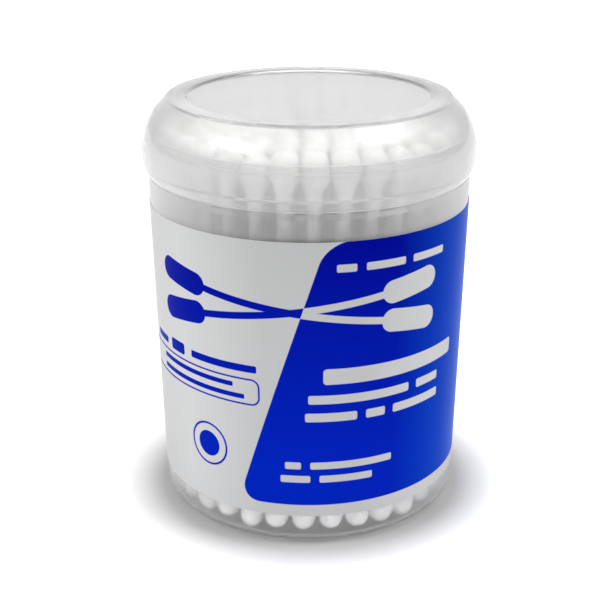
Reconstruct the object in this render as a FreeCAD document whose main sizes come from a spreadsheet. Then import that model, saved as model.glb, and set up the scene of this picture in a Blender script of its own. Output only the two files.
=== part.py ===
# Cotton swab tub: a clear round tub with a snap-on domed lid, a wrap-round label and one hundred swabs.
import FreeCAD, Part
import math
import os

import Sketcher

# The tub stands on the ground at z = 0, its axis is Z, and the label's seam is at the back, on +Y.
# Every size is in millimetres, every angle in degrees.
DRIVING_SIZES = [
    ("base_radius", 30.30, "tub wall outside, carried down to the ground"),
    ("shoulder_radius", 31.88, "tub wall outside, at the step under the lid"),
    ("shoulder_height", 68.50, "ground to the step that the lid sits over"),
    ("wall", 0.90, "thickness of the tub's wall and neck"),
    ("base_corner", 3.20, "rounding of the tub's outer bottom corner"),
    ("foot_width", 2.20, "flat ring that the tub stands on"),
    ("foot_height", 0.40, "recess under the floor, beside the foot ring"),
    ("foot_flare", 0.60, "slope of the recess wall"),
    ("floor_thickness", 0.85, "thickness of the tub's floor"),
    ("floor_rise", 0.30, "rise of the floor from its edge to its middle"),
    ("floor_flat", 2.40, "level ring of the floor round the rise"),
    ("inner_corner", 1.00, "bevel of the tub's inner bottom corner"),
    ("neck_inset", 0.93, "step of the wall inward to the neck"),
    ("neck_height", 8.20, "step to the tub's rim"),
    ("neck_slope", 0.80, "height in which the inside of the wall steps in"),
    ("lip_out", 0.35, "snap lip beyond the neck"),
    ("lip_height", 1.30, "height of the snap lip at the rim"),
    ("rim_bevel", 0.20, "bevel of the rim's edges"),
    ("label_bottom", 6.80, "ground to the label's lower edge"),
    ("label_margin", 5.50, "bare wall between the label and the step"),
    ("label_thickness", 0.12, "thickness of the label"),
    ("label_gap", 0.03, "glue line between label and wall"),
    ("label_seam", 1.50, "gap between the label's ends, at the back"),
    ("lid_seat_gap", 0.15, "running gap between lid and step"),
    ("lid_height", 14.65, "height of the lid"),
    ("lid_overhang", 1.19, "lid at its widest, beyond the tub's step"),
    ("lid_wall", 0.90, "thickness of the lid"),
    ("crest_inset", 5.27, "lid at its widest, to the crest round its top"),
    ("slope_angle", 44.30, "lid's shoulder, up from the level"),
    ("lid_shoulder_round", 10.46, "rounding from the shoulder into the skirt"),
    ("lid_inner_bevel", 2.30, "bevel inside the lid, under that rounding"),
    ("crest_width", 4.00, "crest to the stacking recess in the lid's top"),
    ("panel_depth", 0.40, "depth of the stacking recess"),
    ("panel_slope", 0.35, "slope of the recess's edge"),
    ("skirt_draft", 0.15, "skirt's pull-in between the shoulder and the tuck"),
    ("tuck_in", 1.00, "pull-in of the skirt's lower edge"),
    ("tuck_start", 0.25, "pull-in in the tuck's upper half"),
    ("tuck_height", 2.60, "height in which the lower edge pulls in"),
    ("snap_gap", 0.20, "running gap between the lid's snap rib and the lip"),
    ("snap_height", 1.60, "height of the lid's snap rib"),
    ("snap_slope", 0.60, "slope above the snap rib"),
    ("head_room", 4.10, "swab at the axis to the lid's roof"),
    ("bud_length", 9.50, "cotton along the stick at each end"),
    ("tip_radius", 1.45, "flat of the bud's rounded tip"),
    ("tip_length", 2.40, "tip to the bud's widest"),
    ("stick_radius", 1.25, "paper stick"),
    ("swab_sides", 6, "sides of a swab's section"),
    ("seat_gap", 0.25, "gap between a bud's tip and the floor"),
    ("wall_gap", 0.20, "gap between the outer ring's buds and the wall"),
    ("bud_gap", 0.30, "gap between neighbouring buds at the wall"),
    ("ring_gap", 0.08, "gap between one ring's buds and the next"),
]

# Swabs stand in rings. Each ring, from the wall inward, has a count and a twist: its swabs all lean the same
# way round the tub, so neighbouring rings cross.
RING_COUNTS = (32, 26, 20, 14, 8)
RING_TWISTS = (5.0, -11.0, 13.0, -16.0, 18.0)

# Sizes that follow from the driving ones. The tub's wall leans out evenly from the ground to the step.
# The buds are as thick as the wall ring's count leaves room for.
WORKED_SIZES = [
    ("wall_lean", "=(shoulder_radius - base_radius) / shoulder_height"),
    ("foot_outer", "=base_radius - base_corner"),
    ("foot_inner", "=foot_outer - foot_width"),
    ("recess_radius", "=foot_inner - foot_flare"),
    ("floor_edge", "=foot_height + floor_thickness"),
    ("floor_middle", "=floor_edge + floor_rise"),
    ("underside_middle", "=foot_height + floor_rise"),
    ("floor_radius", "=base_radius + wall_lean * floor_edge - wall"),
    ("rise_radius", "=floor_radius - inner_corner - floor_flat"),
    ("neck_radius", "=shoulder_radius - neck_inset"),
    ("neck_inside", "=neck_radius - wall"),
    ("neck_foot", "=shoulder_height - wall"),
    ("wall_top", "=neck_foot - neck_slope"),
    ("wall_top_inside", "=base_radius + wall_lean * wall_top - wall"),
    ("lip_radius", "=neck_radius + lip_out"),
    ("rim_height", "=shoulder_height + neck_height"),
    ("lip_foot", "=rim_height - lip_height"),
    ("lip_under", "=lip_foot - lip_out"),
    ("label_top", "=shoulder_height - label_margin"),
    ("label_low_inner", "=base_radius + wall_lean * label_bottom + label_gap"),
    ("label_low_outer", "=label_low_inner + label_thickness"),
    ("label_high_inner", "=base_radius + wall_lean * label_top + label_gap"),
    ("label_high_outer", "=label_high_inner + label_thickness"),
    ("label_turn", "=360 * (1 - label_seam / (2 * pi * label_high_outer))"),
    ("lid_bottom", "=shoulder_height + lid_seat_gap"),
    ("lid_top", "=lid_bottom + lid_height"),
    ("lid_radius", "=shoulder_radius + lid_overhang"),
    ("crest_radius", "=lid_radius - crest_inset"),
    ("panel_radius", "=crest_radius - crest_width"),
    ("panel_level", "=lid_top - panel_depth"),
    ("panel_rim", "=panel_radius + panel_slope"),
    ("cone_foot", "=lid_top - (lid_radius - crest_radius) * tan(slope_angle)"),
    ("skirt_radius", "=lid_radius - skirt_draft"),
    ("tuck_top", "=lid_bottom + tuck_height"),
    ("tuck_middle", "=lid_bottom + tuck_height / 2"),
    ("tuck_middle_radius", "=skirt_radius - tuck_start"),
    ("tuck_radius", "=skirt_radius - tuck_in"),
    ("snap_radius", "=lip_radius + snap_gap"),
    ("snap_top", "=lid_bottom + snap_height"),
    ("snap_fade", "=snap_top + snap_slope"),
    ("skirt_inside", "=skirt_radius - lid_wall"),
    ("lid_inside", "=lid_radius - lid_wall"),
    ("cone_foot_inside", "=cone_foot - lid_wall * (1 - sin(slope_angle)) / cos(slope_angle)"),
    ("crest_inside", "=crest_radius - lid_wall * (1 - cos(slope_angle)) / sin(slope_angle)"),
    ("roof_level", "=lid_top - lid_wall"),
    ("roof_panel_level", "=panel_level - lid_wall"),
    ("swab_length", "=roof_panel_level - head_room - floor_middle - seat_gap"),
    ("bud_level", "=floor_edge + seat_gap + tip_length"),
    ("wall_at_bud", "=base_radius + wall_lean * bud_level - wall"),
    ("ring_chord", f"=2 * sin(180 / {RING_COUNTS[0]})"),
    ("bud_radius", "=((wall_at_bud - wall_gap) * ring_chord - bud_gap) / (2 + ring_chord)"),
    ("outer_ring", "=wall_at_bud - wall_gap - bud_radius"),
    ("top_ring", "=neck_inside - wall_gap - bud_radius"),
    ("ring_pitch", "=2 * bud_radius + ring_gap"),
]

doc = FreeCAD.newDocument("cotton_swab_tub")


def make_sheet():
    """Put the driving sizes and the sizes worked out from them in the sheet, one alias each."""
    sheet = doc.addObject("Spreadsheet::Sheet", "Sizes")
    rows = [(alias, str(value), note) for alias, value, note in DRIVING_SIZES]
    rows += [(alias, formula, "") for alias, formula in WORKED_SIZES]
    for number, (alias, content, note) in enumerate(rows, start=1):
        sheet.set(f"A{number}", alias)
        sheet.set(f"B{number}", content)
        sheet.set(f"C{number}", note)
        sheet.setAlias(f"B{number}", alias)
    doc.recompute()
    return sheet


sizes = make_sheet()


def size(alias):
    """The present value of one size."""
    return float(getattr(sizes, alias))


def bind(target, path, alias):
    """Tie one property to one size."""
    target.setExpression(path, f"Sizes.{alias}")


def corner_point(corner):
    """A profile corner as a point of the sketch: no radius is on the axis, no height is on the ground."""
    radius, height = corner
    across = size(radius) if radius else 0.0
    up = size(height) if height else 0.0
    return FreeCAD.Vector(across, up, 0)


def hold_corner(sketch, edge, corner):
    """Constrain the start of an edge to the sizes that name its corner."""
    radius, height = corner
    point = corner_point(corner)
    if radius:
        held = sketch.addConstraint(Sketcher.Constraint("DistanceX", -1, 1, edge, 1, point.x))
        bind(sketch, f"Constraints[{held}]", radius)
    else:
        sketch.addConstraint(Sketcher.Constraint("PointOnObject", edge, 1, -2))
    if height:
        held = sketch.addConstraint(Sketcher.Constraint("DistanceY", -1, 1, edge, 1, point.y))
        bind(sketch, f"Constraints[{held}]", height)
    else:
        sketch.addConstraint(Sketcher.Constraint("PointOnObject", edge, 1, -1))


def draw_profile(body, corners):
    """Sketch a closed half section on the body's XZ plane, one straight edge from each corner to the next."""
    sketch = body.newObject("Sketcher::SketchObject", body.Name + "_section")
    plane = next(face for face in body.Origin.OriginFeatures if face.Role == "XZ_Plane")
    sketch.AttachmentSupport = [(plane, "")]
    sketch.MapMode = "FlatFace"
    points = [corner_point(corner) for corner in corners]
    edges = []
    for start, end in zip(points, points[1:] + points[:1]):
        edges.append(sketch.addGeometry(Part.LineSegment(start, end), False))
    for edge, before, corner in zip(edges, edges[-1:] + edges[:-1], corners):
        sketch.addConstraint(Sketcher.Constraint("Coincident", before, 2, edge, 1))
        hold_corner(sketch, edge, corner)
    return sketch


def revolve(name, corners):
    """Turn a half section into a body of its own, all the way round Z."""
    body = doc.addObject("PartDesign::Body", name)
    body.Label = name
    sketch = draw_profile(body, corners)
    turn = body.newObject("PartDesign::Revolution", name + "_turn")
    turn.Profile = sketch
    turn.ReferenceAxis = (sketch, ["V_Axis"])
    turn.Angle = 360
    doc.recompute()
    return body, turn


def dress_corners(kind, body, corners, alias):
    """Fillet or chamfer the circular edges that lie at the given corners of the body's section."""
    feature = body.Tip
    names = []
    for corner in corners:
        point = corner_point(corner)
        for number, edge in enumerate(feature.Shape.Edges, start=1):
            if edge.Degenerated or not isinstance(edge.Curve, Part.Circle):
                continue
            if math.hypot(edge.Curve.Radius - point.x, edge.Curve.Center.z - point.y) < 0.001:
                names.append(f"Edge{number}")
                break
    dressing = body.newObject("PartDesign::" + kind, f"{body.Name}_{alias}")
    dressing.Base = (feature, names)
    bind(dressing, "Radius" if kind == "Fillet" else "Size", alias)
    doc.recompute()


def make_tub():
    """The clear tub: raised floor on a foot ring, leaning wall, step, neck and snap lip."""
    outside = [
        (None, "underside_middle"),
        ("recess_radius", "foot_height"),
        ("foot_inner", None),
        ("base_radius", None),
        ("shoulder_radius", "shoulder_height"),
        ("neck_radius", "shoulder_height"),
        ("neck_radius", "lip_under"),
        ("lip_radius", "lip_foot"),
        ("lip_radius", "rim_height"),
    ]
    inside = [
        ("neck_inside", "rim_height"),
        ("neck_inside", "neck_foot"),
        ("wall_top_inside", "wall_top"),
        ("floor_radius", "floor_edge"),
        ("rise_radius", "floor_edge"),
        (None, "floor_middle"),
    ]
    body, _ = revolve("tub", outside + inside)
    dress_corners("Fillet", body, [("base_radius", None)], "base_corner")
    dress_corners("Chamfer", body, [("floor_radius", "floor_edge")], "inner_corner")
    dress_corners("Chamfer", body, [("lip_radius", "rim_height"), ("neck_inside", "rim_height")], "rim_bevel")
    return body


def make_label():
    """The printed sleeve round the wall, open by a narrow seam at the back."""
    corners = [
        ("label_low_inner", "label_bottom"),
        ("label_low_outer", "label_bottom"),
        ("label_high_outer", "label_top"),
        ("label_high_inner", "label_top"),
    ]
    body, turn = revolve("label", corners)
    turn.Midplane = True
    bind(turn, "Angle", "label_turn")
    body.Placement = FreeCAD.Placement(FreeCAD.Vector(), FreeCAD.Rotation(FreeCAD.Vector(0, 0, 1), -90))
    doc.recompute()
    return body


def make_lid():
    """The clear lid: recessed top, sloping shoulder, tucked skirt and snap rib inside."""
    outside = [
        (None, "panel_level"),
        ("panel_radius", "panel_level"),
        ("panel_rim", "lid_top"),
        ("crest_radius", "lid_top"),
        ("lid_radius", "cone_foot"),
        ("skirt_radius", "tuck_top"),
        ("tuck_middle_radius", "tuck_middle"),
        ("tuck_radius", "lid_bottom"),
    ]
    inside = [
        ("snap_radius", "lid_bottom"),
        ("snap_radius", "snap_top"),
        ("skirt_inside", "snap_fade"),
        ("lid_inside", "cone_foot_inside"),
        ("crest_inside", "roof_level"),
        ("panel_rim", "roof_level"),
        ("panel_radius", "roof_panel_level"),
        (None, "roof_panel_level"),
    ]
    body, _ = revolve("lid", outside + inside)
    dress_corners("Fillet", body, [("lid_radius", "cone_foot")], "lid_shoulder_round")
    dress_corners("Chamfer", body, [("lid_inside", "cone_foot_inside")], "lid_inner_bevel")
    return body


def polar(radius, angle, height):
    """A point at an angle round the tub's axis."""
    return FreeCAD.Vector(radius * math.cos(angle), radius * math.sin(angle), height)


def swab_section(radius, height):
    """The corners of one many-sided section of a swab, square to its stick."""
    sides = int(size("swab_sides"))
    return [polar(radius, 2 * math.pi * side / sides, height) for side in range(sides)]


def flat_face(corners):
    """A flat face between corners in order."""
    return Part.Face(Part.makePolygon(corners + corners[:1]))


def make_swab_pattern():
    """One swab, standing on the origin: a stick with cotton wound on both ends, in flat faces."""
    half = [("tip_radius", 0.0), ("bud_radius", size("tip_length")), ("stick_radius", size("bud_length"))]
    lower = [swab_section(size(radius), height) for radius, height in half]
    upper = [swab_section(size(radius), size("swab_length") - height) for radius, height in reversed(half)]
    sections = lower + upper
    faces = [flat_face(sections[0][::-1]), flat_face(sections[-1])]
    for below, above in zip(sections, sections[1:]):
        for side in range(len(below)):
            faces.append(flat_face([below[side - 1], below[side], above[side], above[side - 1]]))
    swab = doc.addObject("Part::Feature", "swab_pattern")
    swab.Shape = Part.Solid(Part.Shell(faces))
    return swab


def floor_under(radius):
    """Height of the raised floor at a distance from the axis."""
    edge = size("rise_radius")
    return size("floor_edge") + size("floor_rise") * max(0.0, 1 - radius / edge)


def stand_swab(name, pattern, foot, head):
    """One swab on its foot point, leaning towards a point above."""
    swab = doc.addObject("Part::Feature", name)
    swab.Label = name
    swab.Shape = pattern.Shape
    lean = FreeCAD.Rotation(FreeCAD.Vector(0, 0, 1), head - foot)
    swab.Placement = FreeCAD.Placement(foot, lean)
    return swab


def make_ring(pattern, number):
    """The swabs of one ring, counted from the wall inward."""
    count = RING_COUNTS[number]
    low_radius = size("outer_ring") - number * size("ring_pitch")
    high_radius = low_radius * size("top_ring") / size("outer_ring")
    low = floor_under(low_radius) + size("seat_gap")
    twist = math.radians(RING_TWISTS[number])
    swabs = []
    for place in range(count):
        angle = 2 * math.pi * place / count
        foot = polar(low_radius, angle - twist / 2, low)
        head = polar(high_radius, angle + twist / 2, low + size("swab_length"))
        name = f"swab_{place + 1:02d}" if number == 0 else f"swab_{number + 1}_{place + 1:02d}"
        swabs.append(stand_swab(name, pattern, foot, head))
    return swabs


def group_ring(number, swabs):
    """The swabs of an inner ring as one group of separate solids."""
    group = doc.addObject("Part::Compound", f"swab_ring_{number + 1}")
    group.Label = group.Name
    group.Links = swabs
    doc.recompute()
    return group


def make_swabs():
    """All the swabs: those at the wall one by one, and each inner ring as a group."""
    pattern = make_swab_pattern()
    pieces = []
    for number in range(len(RING_COUNTS)):
        swabs = make_ring(pattern, number)
        if number == 0:
            pieces += swabs
        else:
            pieces.append(group_ring(number, swabs))
    return pieces


def check_document(pieces):
    """Stop before anything is written if an object failed or a piece is not a sound solid."""
    doc.recompute()
    for item in doc.Objects:
        if "Invalid" in item.State or "Error" in item.State:
            raise RuntimeError(f"{item.Name} failed: {item.State}")
    for piece in pieces:
        if piece.Shape.isNull() or not piece.Shape.isValid() or not piece.Shape.Solids:
            raise RuntimeError(f"{piece.Label} is not a sound solid")


pieces = [make_tub(), make_label(), make_lid()] + make_swabs()
check_document(pieces)
os.makedirs("parts", exist_ok=True)
for piece in pieces:
    piece.Shape.exportStep(os.path.join("parts", piece.Label + ".step"))
    print(piece.Label, round(piece.Shape.Volume, 2), len(piece.Shape.Solids), piece.Shape.BoundBox)
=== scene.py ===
import math
import random

import bmesh
import bpy
from bpy.props import FloatProperty, FloatVectorProperty, IntProperty, PointerProperty
from mathutils import Matrix, Vector, noise


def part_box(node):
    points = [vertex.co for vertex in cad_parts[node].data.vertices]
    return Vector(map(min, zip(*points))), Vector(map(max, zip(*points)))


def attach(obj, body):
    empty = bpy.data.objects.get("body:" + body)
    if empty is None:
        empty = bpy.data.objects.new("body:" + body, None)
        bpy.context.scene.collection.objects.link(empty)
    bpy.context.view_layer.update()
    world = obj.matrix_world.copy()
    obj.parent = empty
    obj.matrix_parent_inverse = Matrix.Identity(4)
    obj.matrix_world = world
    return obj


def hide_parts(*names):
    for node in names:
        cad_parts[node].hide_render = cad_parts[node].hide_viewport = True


bl_info = {
    "name": "Cotton Swab Tub",
    "version": (1, 0, 0),
    "blender": (4, 5, 0),
    "location": "View3D > Sidebar > Swab Tub",
    "description": "Dresses a clear tub of cotton swabs: smooth plastic, printed label, wound cotton",
    "category": "Object",
}

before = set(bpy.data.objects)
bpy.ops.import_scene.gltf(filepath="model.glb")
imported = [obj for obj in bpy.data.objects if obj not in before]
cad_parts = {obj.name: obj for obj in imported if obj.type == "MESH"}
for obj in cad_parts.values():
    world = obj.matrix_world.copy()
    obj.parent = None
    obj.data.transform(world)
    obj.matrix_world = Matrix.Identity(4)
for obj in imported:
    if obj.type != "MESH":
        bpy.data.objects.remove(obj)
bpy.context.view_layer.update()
LABEL_LOW, LABEL_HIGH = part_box("label")
MM = 0.001

# The tub and lid in millimetres: radii from the axis and heights from the ground.
FOOT_RADIUS = 30.30  # wall outside, carried down to the ground
STEP_RADIUS, STEP_HEIGHT = 31.88, 68.50  # wall outside, at the step under the lid
NECK_RADIUS = 30.95
LIP_RADIUS, LIP_FOOT, RIM_HEIGHT = 31.30, 75.40, 76.70
FLOOR_RADIUS, FLOOR_EDGE, FLOOR_MIDDLE = 29.4288, 1.25, 1.55
RISE_RADIUS = 26.0288  # where the floor starts to rise toward its middle
RECESS_RADIUS, FOOT_INNER = 24.30, 24.90  # the recess under the floor, and the ring round it
WALL_LEAN = (STEP_RADIUS - FOOT_RADIUS) / STEP_HEIGHT
SLOPE_FOOT, SLOPE_HEAD = 75.0, 79.0  # heights between which the lid's skirt gives way to its slope
ROOF_RADIUS = 27.6
SHOULDER_TURN = 46.94  # degrees between the lid's slope and its skirt

# The label's map: a square of 200 mm, the front centre in its middle, unrolled at the label's mean radius.
MAP_SPAN = 200.0
MAP_RADIUS = 31.2

# Each ring of swabs, from the wall inward: its radius at the foot, its count, and how far its swabs lean round.
SWAB_RINGS = ((26.812, 32, 5.0), (21.776, 26, -11.0), (16.740, 20, 13.0), (11.704, 14, -16.0), (6.668, 8, 18.0))
HEAD_SPREAD = 27.372 / 26.812  # the rings are this much wider at their heads
SEAT_GAP = 0.25  # between a swab and the floor
MOST_RAISED = 1.1  # the most that a swab stands above its seat
NECK_ROOM, WALL_ROOM = 29.95, 29.35  # how far out cotton may reach in the neck, and in the wall at the ground
NECK_FOOT = 66.8  # where the inside starts to narrow to the neck
FOOT_SWELL, HEAD_SWELL = (0.96, 1.06), (1.14, 1.24)  # least and most that a bud is swelled
LUMPS = ((380, 0.11), (1000, 0.06))  # lumps a metre, and how much they swell the cotton
FADE = 3.0  # the swelling fades out over this length at a bud's end
CHANCE_SEED = 11

# Each lamp: name, direction, distance, width, height, power, and whether glossy surfaces show it.
LAMPS = (
    ("overhead", (0.0, 0.05, 1.0), 0.80, 1.60, 0.80, 2.7, True),
    ("key_right", (0.522, -0.153, 0.839), 0.78, 0.22, 0.22, 1.6, True),
    ("fill_left", (-0.65, -0.33, 0.685), 0.85, 0.45, 0.24, 1.7, True),
    ("side_left", (-0.97, -0.10, 0.20), 1.00, 0.80, 0.80, 1.9, False),
    ("side_right", (0.90, -0.42, 0.02), 1.00, 0.80, 0.80, 1.6, False),
    ("low_front", (0.0, -0.13, -0.048), 0.139, 0.16, 0.02, 0.036, False),
    ("back", (-0.20, 1.0, 0.16), 1.00, 0.80, 0.80, 1.6, False),
)
LAMP_AIM = (0, 0, 0.06)
FLOOR_REACH = 6.0
NEAR_LIFT, FAR_LIFT = (0.0315, 0.0435), (0.2, 1.2)  # metres from the axis between which the floor's lift grows
CAMERA_PLACE = (0, -0.2460, 0.1343)
CAMERA_AIM = (0, 0, 0.0410)
CAMERA_SHIFT = -0.0232

BLACK = (0, 0, 0, 1)
CLEAR = (0.97, 0.97, 0.97, 1)


# ---------------------------------------------------------------- settings


class TubSettings(bpy.types.PropertyGroup):
    """Sizes and colours of the clear tub and its lid."""

    wall: FloatProperty(name="Wall", description="Thickness of the tub's wall", default=0.90 * MM, unit="LENGTH")
    base_corner: FloatProperty(
        name="Base corner", description="Rounding of the outer bottom corner", default=3.20 * MM, unit="LENGTH"
    )
    lid_round: FloatProperty(
        name="Lid shoulder", description="Rounding of the lid's shoulder", default=10.46 * MM, unit="LENGTH"
    )
    lid_wall: FloatProperty(name="Lid wall", description="Thickness of the lid", default=0.90 * MM, unit="LENGTH")
    milky: FloatVectorProperty(
        name="Milky", description="Colour of the hazy plastic", default=(0.79, 0.79, 0.795), subtype="COLOR"
    )
    # The grey is painted shade: the slope and roof are darkened to offset the stronger light from above.
    shade_grey: FloatVectorProperty(
        name="Grey", description="Colour of the lid's slope and roof", default=(0.37, 0.37, 0.375), subtype="COLOR"
    )
    tub_haze: FloatProperty(
        name="Tub haze", description="Milkiness of one face of the tub's wall", default=0.34, subtype="FACTOR"
    )
    lid_haze: FloatProperty(
        name="Lid haze", description="Milkiness of one face of the lid's skirt", default=0.24, subtype="FACTOR"
    )


class LabelSettings(bpy.types.PropertyGroup):
    """Place and colours of the printed sleeve."""

    thickness: FloatProperty(name="Thickness", description="Thickness of the film", default=0.12 * MM, unit="LENGTH")
    seam: FloatProperty(name="Seam", description="Gap between the ends at the back", default=1.5 * MM, unit="LENGTH")
    white: FloatVectorProperty(
        name="White", description="Bare film of the label", default=(0.665, 0.67, 0.675), subtype="COLOR"
    )
    blue: FloatVectorProperty(
        name="Blue", description="Printed field, low down", default=(0.0003, 0.023, 0.62), subtype="COLOR"
    )
    # Deep blue paints shade at the field's top, and also tints the ink's grain.
    deep_blue: FloatVectorProperty(
        name="Deep blue", description="Printed field, high up", default=(0.0002, 0.004, 0.37), subtype="COLOR"
    )
    # A painted reflection: the field lightens to this blue at its right.
    sheen_blue: FloatVectorProperty(
        name="Light blue", description="Printed field, at its right", default=(0.001, 0.125, 0.88), subtype="COLOR"
    )


class SwabSettings(bpy.types.PropertyGroup):
    """Sizes and colours of one swab."""

    length: FloatProperty(name="Length", description="Tip to tip", default=76.1 * MM, unit="LENGTH")
    bud_radius: FloatProperty(
        name="Bud radius", description="Cotton at its widest", default=2.478 * MM, unit="LENGTH"
    )
    bud_length: FloatProperty(
        name="Bud length", description="Cotton along the stick", default=9.5 * MM, unit="LENGTH"
    )
    stick_radius: FloatProperty(name="Stick radius", description="Paper stick", default=1.25 * MM, unit="LENGTH")
    sides: IntProperty(name="Sides", description="Faces round one swab", default=16, min=6, max=24)
    cotton: FloatVectorProperty(
        name="Cotton", description="Colour of the cotton", default=(0.92, 0.915, 0.90), subtype="COLOR"
    )
    # The paper's grey is painted shade: the white sticks are darkened to the shade inside the tub.
    paper: FloatVectorProperty(
        name="Paper", description="Colour of the rolled paper stick", default=(0.35, 0.35, 0.345), subtype="COLOR"
    )


class StageSettings(bpy.types.PropertyGroup):
    """Floor, light and camera."""

    floor: FloatVectorProperty(
        name="Floor", description="Colour of the floor", default=(0.70, 0.70, 0.70), subtype="COLOR"
    )
    sky: FloatProperty(name="Sky", description="Strength of the even light", default=0.20, subtype="FACTOR")
    lens: FloatProperty(name="Lens", description="Focal length in millimetres", default=77.46, unit="CAMERA")


# ---------------------------------------------------------------- materials


class Number:
    """A number in a material. A sum written with it adds its Math nodes."""

    def __init__(self, finish, socket):
        self.finish = finish
        self.socket = socket

    def math(self, operation, *others):
        return self.finish.math(operation, self, *others)

    def __add__(self, other):
        return self.math("ADD", other)

    def __radd__(self, other):
        return self.math("ADD", other)

    def __sub__(self, other):
        return self.math("SUBTRACT", other)

    def __rsub__(self, other):
        return self.finish.math("SUBTRACT", other, self)

    def __mul__(self, other):
        return self.math("MULTIPLY", other)

    def __rmul__(self, other):
        return self.math("MULTIPLY", other)

    def __truediv__(self, other):
        return self.math("DIVIDE", other)

    def __pow__(self, other):
        return self.math("POWER", other)

    def __abs__(self):
        return self.math("ABSOLUTE")

    def above(self, other):
        """The larger of two numbers."""
        return self.math("MAXIMUM", other)

    def below(self, other):
        """The smaller of two numbers."""
        return self.math("MINIMUM", other)


class Nodes:
    """Fills one node tree."""

    def __init__(self, tree):
        self.tree = tree
        self.tree.nodes.clear()

    def node(self, kind, settings=None, sockets=None):
        """Adds a node, makes its settings, then fills its sockets with values or links."""
        made = self.tree.nodes.new(kind)
        for key, value in (settings or {}).items():
            setattr(made, key, value)
        for key, value in (sockets or {}).items():
            if isinstance(value, Number):
                value = value.socket
            if isinstance(value, bpy.types.NodeSocket):
                self.tree.links.new(value, made.inputs[key])
            else:
                made.inputs[key].default_value = value
        return made

    def math(self, operation, *values):
        """One Math node on numbers."""
        made = self.node("ShaderNodeMath", {"operation": operation}, dict(enumerate(values)))
        return Number(self, made.outputs[0])

    def mix_shader(self, factor, first, second):
        """Mixes what two shader nodes give."""
        return self.node("ShaderNodeMixShader", None, {0: factor, 1: first.outputs[0], 2: second.outputs[0]})

    def seen(self):
        """1 where the camera looks, straight, in a reflection or through glass, and 0 for all other light."""
        path = self.node("ShaderNodeLightPath")
        rays = [Number(self, path.outputs[f"Is {kind} Ray"]) for kind in ("Camera", "Glossy", "Transmission")]
        return rays[0].above(rays[1]).above(rays[2])


class Finish(Nodes):
    """Builds one procedural material out of nodes."""

    def __init__(self, name):
        self.material = bpy.data.materials.new(name)
        self.material.use_nodes = True
        super().__init__(self.material.node_tree)

    def place(self, output="Object", turn=(0, 0, 0), scale=(1, 1, 1)):
        """Coordinates of the piece, turned and scaled."""
        source = self.node("ShaderNodeTexCoord")
        sockets = {"Vector": source.outputs[output], "Rotation": turn, "Scale": scale}
        return self.node("ShaderNodeMapping", None, sockets).outputs[0]

    def parts(self, where):
        """The three numbers of a place."""
        split = self.node("ShaderNodeSeparateXYZ", None, {0: where})
        return [Number(self, socket) for socket in split.outputs]

    def noise(self, where, scale, detail=2.0, rough=0.5):
        """Smooth random values. The scale is in lumps a metre, or a map's width."""
        sockets = {"Vector": where, "Scale": scale, "Detail": detail, "Roughness": rough}
        return Number(self, self.node("ShaderNodeTexNoise", None, sockets).outputs["Fac"])

    def mix(self, factor, first, second):
        """Mixes two colours."""
        return self.node("ShaderNodeMix", {"data_type": "RGBA"}, {0: factor, 6: first, 7: second}).outputs[2]

    def bump(self, height, depth, strength=1.0, under=None):
        """A normal bent by a height, over another normal if one is given."""
        sockets = {"Height": height, "Distance": depth, "Strength": strength}
        if under is not None:
            sockets["Normal"] = under
        return self.node("ShaderNodeBump", None, sockets).outputs[0]

    def principled(self, **sockets):
        """The main shader. A socket's name is written with _ for each space."""
        named = {key.replace("_", " "): value for key, value in sockets.items()}
        return self.node("ShaderNodeBsdfPrincipled", None, named)

    def output(self, shader):
        """Ends the material in a shader."""
        self.node("ShaderNodeOutputMaterial", None, {"Surface": shader.outputs[0]})
        return self.material


def colour(value, factor=1.0):
    """A colour of three, dimmed by a factor, as the four numbers that a socket wants."""
    return (*(part * factor for part in value), 1.0)


def ramp(value, low, high):
    """0 below the low value, 1 above the high one, and even between them."""
    return ((value - low) / (high - low)).above(0.0).below(1.0)


class Plastic(Finish):
    """Thin moulded plastic: clear, a little milky, glossy at a glance, with faint flow marks and scuffs."""

    def __init__(self, name):
        super().__init__(name)
        self.here = self.place()
        self.cloud = self.noise(self.here, 70, 3)
        right, back, self.up = self.parts(self.here)
        self.away = (right**2 + back**2).math("SQRT")
        self.slant = Number(self, self.node("ShaderNodeLayerWeight", None, {"Blend": 0.5}).outputs["Facing"])

    def finished(self, tint, glass, milk, frost, shade):
        """The material from its two colours, its milkiness, how much it blurs, and the shade it throws."""
        flow = self.noise(self.place(scale=(1, 1, 0.12)), 420, 2)
        scuff = self.noise(self.place(scale=(1, 0.08, 1), turn=(0.3, 0.5, 0.9)), 1500, 2)
        normal = self.bump(flow + scuff * 0.3, 0.00004, 0.08)
        clear = self.principled(
            Base_Color=glass,
            Roughness=frost + scuff * 0.03,
            Transmission_Weight=1.0,
            IOR=1.40,
            Normal=normal,
            Coat_Weight=1.0,
            Coat_Roughness=0.04,
            Coat_IOR=1.40,
        )
        cloudy = self.principled(Base_Color=tint, Roughness=0.30 + scuff * 0.16, Normal=normal, IOR=1.40)
        share = milk + (self.cloud - 0.5) * 0.05
        lamp_ray = self.node("ShaderNodeLightPath").outputs["Is Shadow Ray"]
        open_way = self.node("ShaderNodeBsdfTransparent", None, {"Color": (shade, shade, shade, 1)})
        return self.output(self.mix_shader(lamp_ray, self.mix_shader(share, clear, cloudy), open_way))


def tub_plastic(settings):
    """The tub's wall: milky, and clearer low down so that the base reads darker, as painted shade."""
    plastic = Plastic("hazy_plastic")
    # Painted shade: less milk low down lets the base read darker.
    rise = ramp(plastic.up, 6 * MM, 45 * MM)
    tint = plastic.mix(plastic.cloud, colour(settings.milky, 0.95), colour(settings.milky))
    milk = settings.tub_haze * (0.30 + rise * 0.76) * (0.30 + plastic.slant * 2.5)
    return plastic.finished(tint, CLEAR, milk, 0.225, 0.82)


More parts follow.
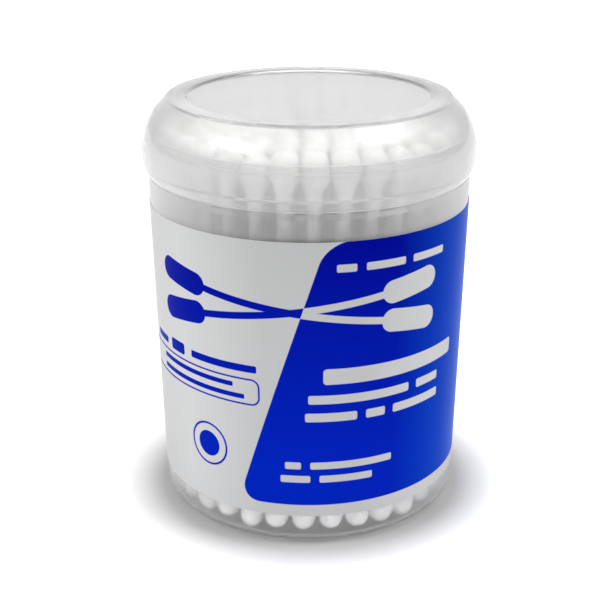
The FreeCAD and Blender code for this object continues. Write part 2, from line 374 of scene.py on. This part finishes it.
def lid_plastic(settings):
    """The lid: milky in its skirt, and clearer and greyer on its slope and in its roof, the grey being painted
    shade.
    """
    plastic = Plastic("clear_plastic")
    slope = ramp(plastic.up, SLOPE_FOOT * MM, SLOPE_HEAD * MM)
    roof = ramp(ROOF_RADIUS * MM - plastic.away, 0.0, 1.2 * MM)
    # Painted shade: the slope and roof take the grey tint, and their glass dims further, to offset the light from
    # above.
    tint = plastic.mix(slope, colour(settings.milky, 0.84), colour(settings.shade_grey))
    tint = plastic.mix(plastic.cloud * 0.3, tint, colour(settings.shade_grey, 0.9))
    dim = plastic.slant * 0.3 + slope * (0.05 + plastic.slant * 0.95)
    glass = plastic.mix(dim, CLEAR, (0.68, 0.68, 0.685, 1))
    milk = settings.lid_haze * (1 - slope * 0.3 - roof * 0.1) * (0.62 + plastic.slant * 0.95)
    frost = 0.235 - slope * 0.035 - roof * 0.08
    return plastic.finished(tint, glass, milk, frost, 0.96)


class Print:
    """Flat shapes on the label, in millimetres: along from the front centre and up from the ground."""

    def __init__(self, finish):
        self.finish = finish
        across, up, _ = finish.parts(finish.place("UV"))
        self.along = across * MAP_SPAN - MAP_SPAN / 2
        self.up = up * MAP_SPAN

    def edge(self, distance, soft=0.06):
        """1 inside a shape and 0 outside, from its signed distance."""
        made = self.finish.node("ShaderNodeMapRange", None, {0: distance, 1: soft, 2: -soft, 3: 0.0, 4: 1.0})
        return Number(self.finish, made.outputs[0])

    def panel(self, left, right, bottom, top, radius, lean=0.0):
        """Signed distance of a round-cornered panel. A lean slants its sides."""
        across = abs(self.along - self.up * lean - (left + right) / 2) - ((right - left) / 2 - radius)
        high = abs(self.up - (bottom + top) / 2) - ((top - bottom) / 2 - radius)
        corner = (across.above(0.0) ** 2 + high.above(0.0) ** 2).math("SQRT")
        return corner + across.above(high).below(0.0) - radius

    def capsule(self, start, end, radius):
        """Signed distance of a round-ended bar between two points."""
        run = (end[0] - start[0], end[1] - start[1])
        length = run[0] ** 2 + run[1] ** 2
        away = self.along - start[0]
        rise = self.up - start[1]
        share = ((away * run[0] + rise * run[1]) / length).math("MAXIMUM", 0.0).below(1.0)
        return ((away - share * run[0]) ** 2 + (rise - share * run[1]) ** 2).math("SQRT") - radius

    def disc(self, centre, radius):
        """Signed distance of a disc."""
        away = self.along - centre[0]
        rise = self.up - centre[1]
        return (away**2 + rise**2).math("SQRT") - radius


# The label's bars: left, right, middle height and half height.
BARS = (
    (4.9, 8.6, 58.0, 0.75), (10.4, 18.4, 58.0, 0.75), (20.2, 28.4, 58.0, 0.75),
    (2.6, 33.6, 36.6, 1.6),
    (-0.2, 20.4, 31.9, 0.9), (22.4, 28.8, 31.9, 0.9),
    (-0.8, 9.2, 28.2, 0.9), (11.0, 15.0, 28.2, 0.9), (16.8, 29.0, 28.2, 0.9),
    (-4.7, -1.6, 17.9, 0.75), (0.2, 16.8, 17.9, 0.75),
    (-5.6, 0.2, 15.0, 0.75), (2.0, 12.6, 15.0, 0.75),
    (-40.0, -34.0, 37.2, 0.7), (-32.2, -27.4, 37.4, 1.2), (-25.2, -10.0, 37.4, 0.75),
    (-36.0, -15.0, 33.7, 0.5), (-36.0, -12.6, 31.5, 0.5),
)
# The plain swabs that cross on the label: their two ends.
CROSSED = (((-31.0, 45.4), (24.0, 53.4)), ((-31.0, 53.4), (24.0, 45.4)))
SIGN_STICK, SIGN_BUD, SIGN_BUD_RUN = 0.7, 2.3, 8.0  # their half thicknesses, and a bud's length between its rounds
FIELD = (-17.3, 56.0, 9.3, 63.15, 4.4, 0.3235)  # the blue field: left, right, bottom, top, corner and lean
FRAME = (-46.0, -9.6, 30.0, 35.2, 1.6)  # the plain frame: left, right, bottom, top and corner
SEAL, SEAL_RING, SEAL_DISC = (-21.4, 19.3), 4.4, 2.7  # centre of the ring and its disc, and their radii
LINE, RING_LINE = 0.18, 0.22  # half widths of the frame's line and of the ring


def printed_film(settings):
    """Glossy label film: a slanted blue field on white, with bars and a plain swab sign in the other tone."""
    finish = Finish("printed_film")
    sheet = Print(finish)
    field = sheet.edge(sheet.panel(*FIELD))
    marks = None
    for left, right, middle, half in BARS:
        shape = sheet.panel(left, right, middle - half, middle + half, half * 0.45)
        marks = shape if marks is None else marks.below(shape)
    for low, high in CROSSED:
        run = Vector((high[0] - low[0], high[1] - low[1])).normalized() * SIGN_BUD_RUN
        marks = marks.below(sheet.capsule(low, high, SIGN_STICK))
        marks = marks.below(sheet.capsule(low, (low[0] + run.x, low[1] + run.y), SIGN_BUD))
        marks = marks.below(sheet.capsule((high[0] - run.x, high[1] - run.y), high, SIGN_BUD))
    frame_line = abs(sheet.panel(*FRAME)) - LINE
    ring = abs(sheet.disc(SEAL, SEAL_RING)) - RING_LINE
    marks = marks.below(frame_line).below(ring).below(sheet.disc(SEAL, SEAL_DISC))
    ink = sheet.edge(marks)
    other = finish.math("ABSOLUTE", field - ink)
    here = finish.place()
    grain = finish.noise(here, 2600, 2)
    cloud = finish.noise(here, 45, 3)
    white = finish.mix(cloud, colour(settings.white, 0.965), colour(settings.white))
    # Painted light: the white grows lighter towards the label's sides, where the side lamps fall.
    white = finish.mix(ramp(abs(sheet.along), 9.0, 27.0) * 0.7, white, (0.93, 0.935, 0.94, 1))
    # Painted shade: the field darkens from deep blue at its top to blue low down.
    fall = ((60.0 - sheet.up) / 46.0 + cloud * 0.1).above(0.0).below(1.0)
    blue = finish.mix(fall, colour(settings.deep_blue), colour(settings.blue))
    # Painted reflection: the field lightens towards its right.
    blue = finish.mix(ramp(sheet.along, 17.0, 43.0), blue, colour(settings.sheen_blue))
    blue = finish.mix(grain * 0.22, blue, colour(settings.deep_blue))
    normal = finish.bump(cloud + grain * 0.05, 0.0002, 0.12)
    normal = finish.bump(other, 0.00002, 0.3, normal)
    film = finish.principled(
        Base_Color=finish.mix(other, white, blue),
        Roughness=0.34 + grain * 0.10 - other * 0.06,
        Normal=normal,
        Specular_IOR_Level=0.012,
    )
    return finish.output(film)


def wound_cotton(settings):
    """Soft cotton, wound round the stick: loose fibres, small clumps and shade between them."""
    finish = Finish("wound_cotton")
    here = finish.place()
    around = finish.place("UV", scale=(1.0, 9.0, 1.0))
    clump = finish.noise(here, 620, 3, 0.6)
    fibre = finish.noise(around, 26, 4, 0.7)
    fuzz = finish.noise(here, 4200, 2)
    tone = clump * 0.5 + fibre * 0.5
    shade = [part * factor for part, factor in zip(settings.cotton, (0.92, 0.92, 0.915))]
    normal = finish.bump(clump + fibre * 0.7 + fuzz * 0.25, 0.00035, 0.8)
    cotton = finish.principled(
        Base_Color=finish.mix(tone.math("SMOOTH_MIN", 0.75, 0.1), colour(shade), colour(settings.cotton)),
        Roughness=0.92 + fuzz * 0.08,
        Normal=normal,
        Subsurface_Weight=1.0,
        Subsurface_Radius=(1.0, 1.0, 0.95),
        Subsurface_Scale=0.0035,
        Specular_IOR_Level=0.1,
    )
    return finish.output(cotton)


def rolled_paper(settings):
    """White paper rolled into a stick, greyed by painted shade, with its spiral lap and fine fibres."""
    finish = Finish("rolled_paper")
    around, along, _ = finish.parts(finish.place("UV"))
    lap = (around + along * 4.0).math("FRACT")
    seam = (abs(lap - 0.5) - 0.47).above(0.0) * 33.0
    grain = finish.noise(finish.place(scale=(1, 1, 0.25)), 3000, 3)
    # The paper's grey is painted shade.
    paper = finish.principled(
        Base_Color=finish.mix(grain * 0.7 + seam * 0.3, colour(settings.paper), colour(settings.paper, 0.88)),
        Roughness=0.62 + grain * 0.2,
        Normal=finish.bump(grain - seam, 0.00004, 0.6),
    )
    return finish.output(paper)


# ---------------------------------------------------------------- shapes


def new_piece(name, shape, materials, body, nodes):
    """Makes a piece from a bmesh, gives it its finish, and lets it stand for its CAD nodes."""
    mesh = bpy.data.meshes.new(name)
    shape.to_mesh(mesh)
    shape.free()
    for material in materials:
        mesh.materials.append(material)
    for face in mesh.polygons:
        face.use_smooth = True
    piece = bpy.data.objects.new(name, mesh)
    bpy.context.scene.collection.objects.link(piece)
    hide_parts(*nodes)
    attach(piece, body)
    return piece


def turned(corners, steps=160):
    """A half section, in millimetres, turned all the way round Z."""
    shape = bmesh.new()
    points = [shape.verts.new((radius * MM, 0, height * MM)) for radius, height in corners]
    edges = [shape.edges.new(pair) for pair in zip(points, points[1:])]
    bmesh.ops.spin(
        shape,
        geom=points + edges,
        axis=(0, 0, 1),
        cent=(0, 0, 0),
        angle=2 * math.pi,
        steps=steps,
        use_merge=True,
    )
    bmesh.ops.remove_doubles(shape, verts=shape.verts, dist=1e-6)
    bmesh.ops.dissolve_degenerate(shape, dist=1e-7, edges=shape.edges)
    bmesh.ops.recalc_face_normals(shape, faces=shape.faces)
    return shape


def round_corners(shell, *rounds):
    """Rounds ring edges, each given by its corner of the section, the round's reach along each side, and its
    number of faces."""
    for (radius, height), reach, segments in rounds:
        ring = [
            edge
            for edge in shell.edges
            if all(
                abs(math.hypot(vert.co.x, vert.co.y) - radius * MM) < 2e-5 and abs(vert.co.z - height * MM) < 2e-5
                for vert in edge.verts
            )
        ]
        bmesh.ops.bevel(
            shell,
            geom=ring,
            offset=reach * MM,
            offset_type="OFFSET",
            segments=segments,
            profile=0.5,
            affect="EDGES",
            material=-1,
            clamp_overlap=False,
        )


def sharpen(shell, angle=35):
    """Keeps crisp shading at edges that turn by more than the angle."""
    for edge in shell.edges:
        edge.smooth = not (len(edge.link_faces) == 2 and edge.calc_face_angle() > math.radians(angle))


class SWABTUB_OT_tub(bpy.types.Operator):
    """Makes the clear tub with its foot ring, neck and snap lip"""

    bl_idname = "swab_tub.tub"
    bl_label = "Make tub"

    def execute(self, context):
        tub = context.scene.swab_tub
        neck_inside = NECK_RADIUS - tub.wall / MM
        foot, foot_inner = (FOOT_RADIUS, 0), (FOOT_INNER, 0)
        step, lip = (STEP_RADIUS, STEP_HEIGHT), (LIP_RADIUS, LIP_FOOT)
        rim, rim_inner = (LIP_RADIUS, RIM_HEIGHT), (neck_inside, RIM_HEIGHT)
        floor = (FLOOR_RADIUS, FLOOR_EDGE)
        # From the axis under the floor, out and up the wall, over the rim, and down inside to the axis again.
        shell = turned([
            (0, 0.70), (RECESS_RADIUS, 0.40), foot_inner, foot, step, (NECK_RADIUS, STEP_HEIGHT),
            (NECK_RADIUS, 75.05), lip, rim, rim_inner, (neck_inside, 67.6), (30.941, NECK_FOOT),
            floor, (RISE_RADIUS, FLOOR_EDGE), (0, FLOOR_MIDDLE),
        ])
        round_corners(
            shell,
            (foot, tub.base_corner / MM, 8),
            (floor, 1.6, 6),
            (step, 0.18, 2),
            (rim, 0.28, 3),
            (rim_inner, 0.28, 3),
            (lip, 0.15, 2),
            (foot_inner, 0.35, 3),
        )
        sharpen(shell)
        new_piece("clear_tub", shell, [tub_plastic(tub)], "tub", ["tub"])
        return {"FINISHED"}


class SWABTUB_OT_lid(bpy.types.Operator):
    """Makes the clear snap-on lid with its recessed top and tucked skirt"""

    bl_idname = "swab_tub.lid"
    bl_label = "Make lid"

    def execute(self, context):
        tub = context.scene.swab_tub
        panel, crest, crest_inner = (24.15, 83.3), (27.8, 83.3), (27.434, 82.4)
        shoulder, shoulder_inner = (33.07, 78.157), (32.17, 77.777)
        tuck_head, tuck, skirt_foot = (32.92, 71.25), (32.67, 69.95), (31.92, 68.65)
        # From the axis on top, out over the crest, down the skirt, and up inside to the axis again.
        shell = turned([
            (0, 82.9), (23.8, 82.9), panel, crest, shoulder, tuck_head, tuck, skirt_foot,
            (31.5, 68.65), (31.5, 70.25), (32.02, 70.85), shoulder_inner, crest_inner,
            (24.15, 82.4), (23.8, 82.0), (0, 82.0),
        ])
        half_turn = math.tan(math.radians(SHOULDER_TURN / 2))
        round_corners(
            shell,
            (shoulder, tub.lid_round / MM * half_turn, 14),
            (shoulder_inner, (tub.lid_round - tub.lid_wall) / MM * half_turn, 12),
            (crest, 0.30, 4),
            (crest_inner, 0.15, 2),
            (panel, 0.14, 2),
            (tuck_head, 0.55, 3),
            (tuck, 0.55, 3),
            (skirt_foot, 0.12, 2),
        )
        sharpen(shell)
        new_piece("clear_lid", shell, [lid_plastic(tub)], "lid", ["lid"])
        return {"FINISHED"}


class SWABTUB_OT_label(bpy.types.Operator):
    """Makes the printed label round the tub, open at the back by a narrow seam"""

    bl_idname = "swab_tub.label"
    bl_label = "Make label"

    def execute(self, context):
        label = context.scene.swab_label
        low, high = LABEL_LOW.z, LABEL_HIGH.z
        high_radius = LABEL_HIGH.x
        low_radius = high_radius - WALL_LEAN * (high - low)
        turn = 2 * math.pi - label.seam / high_radius
        sleeve = bmesh.new()
        section = [
            sleeve.verts.new((low_radius - label.thickness, 0, low)),
            sleeve.verts.new((low_radius, 0, low)),
            sleeve.verts.new((high_radius, 0, high)),
            sleeve.verts.new((high_radius - label.thickness, 0, high)),
        ]
        cut = sleeve.faces.new(section)
        start = math.pi / 2 + label.seam / high_radius / 2
        bmesh.ops.rotate(sleeve, verts=sleeve.verts, cent=(0, 0, 0), matrix=Matrix.Rotation(start, 3, "Z"))
        bmesh.ops.spin(
            sleeve, geom=[cut], axis=(0, 0, 1), cent=(0, 0, 0), angle=turn, steps=180, use_merge=False
        )
        bmesh.ops.remove_doubles(sleeve, verts=sleeve.verts, dist=1e-6)
        bmesh.ops.recalc_face_normals(sleeve, faces=sleeve.faces)
        sharpen(sleeve)
        flat = sleeve.loops.layers.uv.new("flat")
        for face in sleeve.faces:
            for loop in face.loops:
                angle = math.atan2(loop.vert.co.x, -loop.vert.co.y)
                loop[flat].uv = (angle * MAP_RADIUS / MAP_SPAN + 0.5, loop.vert.co.z / (MAP_SPAN * MM))
        new_piece("printed_label", sleeve, [printed_film(label)], "tub", ["label"])
        return {"FINISHED"}


def swab_pattern(settings):
    """One swab on the origin, along Z: two wound buds on a stick, turned from half a section."""
    length, bud = settings.length / MM, settings.bud_length / MM
    wide, thin = settings.bud_radius / MM, settings.stick_radius / MM
    half = [
        (0, 0), (0.40 * wide, 0.14), (0.66 * wide, 0.60), (0.85 * wide, 1.3), (0.96 * wide, 2.2), (wide, 3.5),
        (0.94 * wide, 4.8), (0.75 * wide, 5.9), (0.59 * wide, 7.0), (0.53 * wide, 8.2), (thin * 1.02, bud),
        (thin, bud + 0.3), (thin, length / 2),
    ]
    other_half = [(radius, length - height) for radius, height in reversed(half[:-1])]
    swab = turned(half + other_half, settings.sides)
    along = swab.loops.layers.uv.new("wound")
    for face in swab.faces:
        middle = face.calc_center_median()
        face.material_index = 1 if bud < middle.z / MM < length - bud else 0
        around = math.atan2(middle.y, middle.x)
        for loop in face.loops:
            angle = math.atan2(loop.vert.co.y, loop.vert.co.x)
            if angle - around > math.pi:
                angle -= 2 * math.pi
            elif around - angle > math.pi:
                angle += 2 * math.pi
            loop[along].uv = (angle / (2 * math.pi), loop.vert.co.z / settings.length)
    mesh = bpy.data.meshes.new("swab_pattern")
    swab.to_mesh(mesh)
    swab.free()
    return mesh


def stand_swab(ring, pattern, foot, head, chance, settings):
    """Adds one swab to a ring, on its foot point and leaning to its head, with its own lumps."""
    first = len(ring.verts)
    ring.from_mesh(pattern)
    ring.verts.ensure_lookup_table()
    fresh = ring.verts[first:]
    seed = Vector([chance.uniform(0, 50) for _ in range(3)])
    bud = settings.bud_length
    swells = [chance.uniform(*FOOT_SWELL), chance.uniform(*HEAD_SWELL)]
    for vert in fresh:
        end = min(vert.co.z, settings.length - vert.co.z)
        if end < bud:
            upper = vert.co.z > settings.length / 2
            lump = sum(noise.noise(vert.co * scale + seed) * height for scale, height in LUMPS)
            swell = swells[upper] * (1 + lump - 0.02)
            fade = min(1.0, (bud - end) / (FADE * MM))
            vert.co.xy = vert.co.xy * (1 + (swell - 1) * fade)
    lean = (head - foot).to_track_quat("Z", "Y").to_matrix().to_4x4()
    spin = Matrix.Rotation(chance.uniform(0, 2 * math.pi), 4, "Z")
    bmesh.ops.transform(ring, matrix=Matrix.Translation(foot) @ lean @ spin, verts=fresh)
    for vert in fresh:
        room = NECK_ROOM * MM if vert.co.z > NECK_FOOT * MM else WALL_ROOM * MM + WALL_LEAN * vert.co.z
        reach = math.hypot(vert.co.x, vert.co.y)
        if reach > room:
            vert.co.xy = vert.co.xy * (room / reach)


class SWABTUB_OT_swabs(bpy.types.Operator):
    """Stands the cotton swabs in the tub, ring by ring, where the CAD swabs are"""

    bl_idname = "swab_tub.swabs"
    bl_label = "Make swabs"

    def execute(self, context):
        settings = context.scene.swab_swabs
        materials = [wound_cotton(settings), rolled_paper(settings)]
        pattern = swab_pattern(settings)
        chance = random.Random(CHANCE_SEED)
        for number, (low_radius, count, twist) in enumerate(SWAB_RINGS):
            rise = (FLOOR_MIDDLE - FLOOR_EDGE) * max(0.0, 1 - low_radius / RISE_RADIUS)
            turned_round = math.radians(twist) / 2
            ring = bmesh.new()
            ring.loops.layers.uv.new("wound")
            for place in range(count):
                angle = 2 * math.pi * place / count
                start, end = angle - turned_round, angle + turned_round
                foot = Vector((math.cos(start), math.sin(start), 0)) * low_radius
                head = Vector((math.cos(end), math.sin(end), 0)) * (low_radius * HEAD_SPREAD)
                foot.z = FLOOR_EDGE + rise + SEAT_GAP + MOST_RAISED * chance.random()
                head.z = foot.z + settings.length / MM
                stand_swab(ring, pattern, foot * MM, head * MM, chance, settings)
            if number == 0:
                nodes = [f"swab_{place + 1:02d}" for place in range(count)]
            else:
                nodes = [f"swab_ring_{number + 1}"]
            new_piece(f"swabs_{number + 1}", ring, materials, "tub", nodes)
        bpy.data.meshes.remove(pattern)
        return {"FINISHED"}


# ---------------------------------------------------------------- stage


def floor_finish(shade):
    """A pale floor that the camera sees as white wherever no shadow falls on it."""
    finish = Finish("pale_floor")
    grain = finish.noise(finish.place(), 90, 2)
    tone = finish.mix(grain, colour(shade, 0.985), colour(shade))
    matt = finish.node("ShaderNodeBsdfDiffuse", None, {"Color": tone})
    apart = finish.node("ShaderNodeVectorMath", {"operation": "LENGTH"}, {0: finish.place()})
    away = Number(finish, apart.outputs["Value"])
    near, far = ramp(away, *NEAR_LIFT), ramp(away, *FAR_LIFT)
    glow = finish.mix(near * 0.80 + far * 0.20, BLACK, (1.1, 1.1, 1.1, 1))
    lift = finish.node("ShaderNodeEmission", None, {"Color": glow, "Strength": 1.0})
    both = finish.node("ShaderNodeAddShader", None, {0: matt.outputs[0], 1: lift.outputs[0]})
    return finish.output(finish.mix_shader(finish.seen(), matt, both))


def softbox(name, direction, distance, width, height, power, shows):
    """An area lamp that looks at the tub from a direction."""
    lamp = bpy.data.lights.new(name, "AREA")
    lamp.shape = "RECTANGLE"
    lamp.size, lamp.size_y = width, height
    lamp.energy = power
    piece = bpy.data.objects.new(name, lamp)
    towards = Vector(direction).normalized()
    piece.location = Vector(LAMP_AIM) + towards * distance
    piece.rotation_euler = towards.to_track_quat("Z", "Y").to_euler()
    piece.visible_camera = False
    piece.visible_glossy = shows
    bpy.context.scene.collection.objects.link(piece)


class SWABTUB_OT_stage(bpy.types.Operator):
    """Makes the floor, the even light, the softboxes and the camera"""

    bl_idname = "swab_tub.stage"
    bl_label = "Make stage"

    def execute(self, context):
        scene = context.scene
        stage = scene.swab_stage
        scene.view_settings.view_transform = "Standard"
        ground = bmesh.new()
        bmesh.ops.create_grid(ground, x_segments=2, y_segments=2, size=FLOOR_REACH)
        mesh = bpy.data.meshes.new("floor")
        ground.to_mesh(mesh)
        ground.free()
        mesh.materials.append(floor_finish(stage.floor))
        floor = bpy.data.objects.new("floor", mesh)
        scene.collection.objects.link(floor)

        world = bpy.data.worlds.new("even_light")
        world.use_nodes = True
        sky = Nodes(world.node_tree)
        dim, white = (sky.node("ShaderNodeBackground", None, {"Strength": power}) for power in (stage.sky, 1.0))
        for light in (dim, white):
            light.inputs["Color"].default_value = (1, 1, 1, 1)
        both = sky.mix_shader(sky.seen(), dim, white)
        sky.node("ShaderNodeOutputWorld", None, {"Surface": both.outputs[0]})
        scene.world = world
        for lamp in LAMPS:
            softbox(*lamp)

        camera = bpy.data.objects.new("camera", bpy.data.cameras.new("camera"))
        camera.data.lens = stage.lens
        camera.data.sensor_width = 36.0
        camera.data.shift_x = CAMERA_SHIFT
        camera.data.clip_start = 0.01
        camera.location = CAMERA_PLACE
        look = Vector(CAMERA_AIM) - camera.location
        camera.rotation_euler = look.to_track_quat("-Z", "Y").to_euler()
        scene.collection.objects.link(camera)
        scene.camera = camera
        return {"FINISHED"}


class SWABTUB_PT_panel(bpy.types.Panel):
    """Lists the steps that make the tub"""

    bl_idname = "SWABTUB_PT_panel"
    bl_label = "Swab Tub"
    bl_space_type = "VIEW_3D"
    bl_region_type = "UI"
    bl_category = "Swab Tub"

    def draw(self, context):
        layout = self.layout
        for name in ("stage", "tub", "label", "swabs", "lid"):
            layout.operator(f"swab_tub.{name}")
        for group in GROUPS:
            settings = getattr(context.scene, group)
            for name in settings.__annotations__:
                layout.prop(settings, name)


GROUPS = {
    "swab_tub": TubSettings,
    "swab_label": LabelSettings,
    "swab_swabs": SwabSettings,
    "swab_stage": StageSettings,
}
CLASSES = (
    *GROUPS.values(),
    SWABTUB_OT_stage,
    SWABTUB_OT_tub,
    SWABTUB_OT_label,
    SWABTUB_OT_swabs,
    SWABTUB_OT_lid,
    SWABTUB_PT_panel,
)


def register():
    for item in CLASSES:
        bpy.utils.register_class(item)
    for group, kind in GROUPS.items():
        setattr(bpy.types.Scene, group, PointerProperty(type=kind))


def unregister():
    for group in GROUPS:
        delattr(bpy.types.Scene, group)
    for item in reversed(CLASSES):
        bpy.utils.unregister_class(item)


def main():
    register()
    bpy.ops.swab_tub.stage()
    bpy.ops.swab_tub.tub()
    bpy.ops.swab_tub.label()
    bpy.ops.swab_tub.swabs()
    bpy.ops.swab_tub.lid()


if __name__ == "__main__":
    main()
